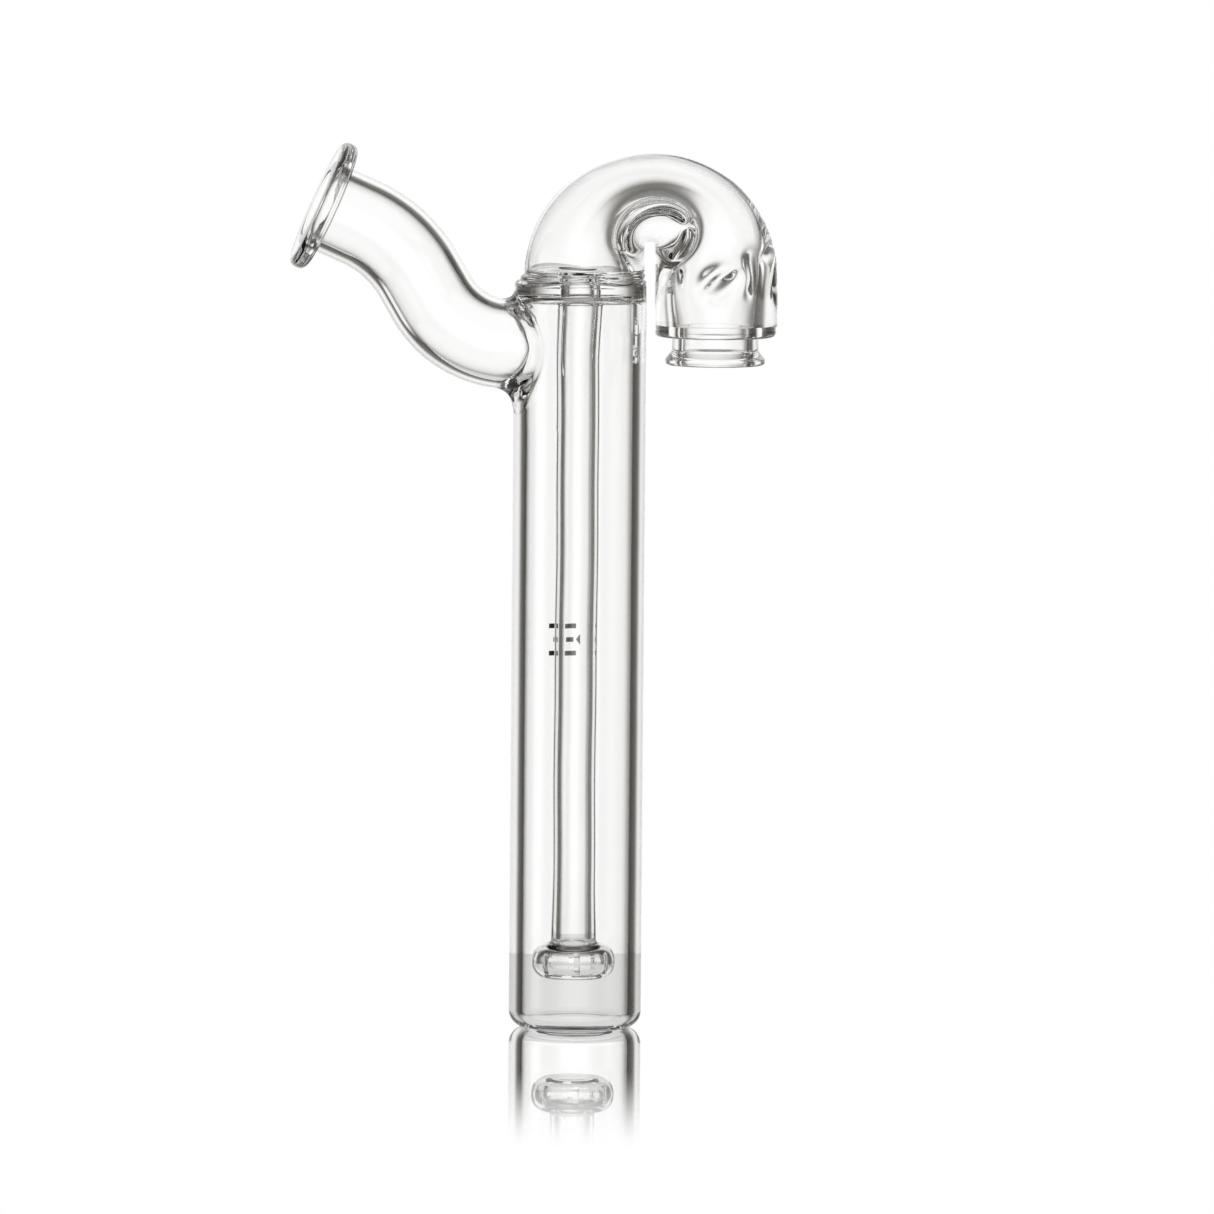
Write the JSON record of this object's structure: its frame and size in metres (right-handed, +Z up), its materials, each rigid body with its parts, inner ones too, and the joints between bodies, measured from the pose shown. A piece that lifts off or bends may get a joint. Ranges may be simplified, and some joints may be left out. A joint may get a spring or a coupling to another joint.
{
  "type": "glass water bubbler tube",
  "caption": "Clear glass bubbler: upright water tube with an inner downstem and slotted puck, an S bend mouthpiece arm and a gooseneck turning down to a beaded outlet.",
  "frame": {"origin": "centre of the base's flat underside, on the body tube's axis", "axes": "+Z up along the body tube, +X towards the gooseneck's outlet, -X towards the mouthpiece, -Y the front"},
  "size_m": [0.0922, 0.0254, 0.1673],
  "materials": {
    "clear_glass": "fire polished",
    "mark_ink": "matte"
  },
  "bodies": {
    "root": {"base_disc": "clear_glass", "body_tube": "clear_glass", "ring_seal": "clear_glass", "downstem": "clear_glass", "diffuser_puck": "clear_glass", "gooseneck_rise": "clear_glass", "gooseneck_drop": "clear_glass", "outlet_shoulder": "clear_glass", "outlet_neck": "clear_glass", "arm_root_bend": "clear_glass", "arm_low_climb": "clear_glass", "arm_high_climb": "clear_glass", "arm_mouth_bend": "clear_glass", "arm_collar": "clear_glass", "mouthpiece_flange": "clear_glass", "fill_mark": "mark_ink"}
  },
  "joints": []
}
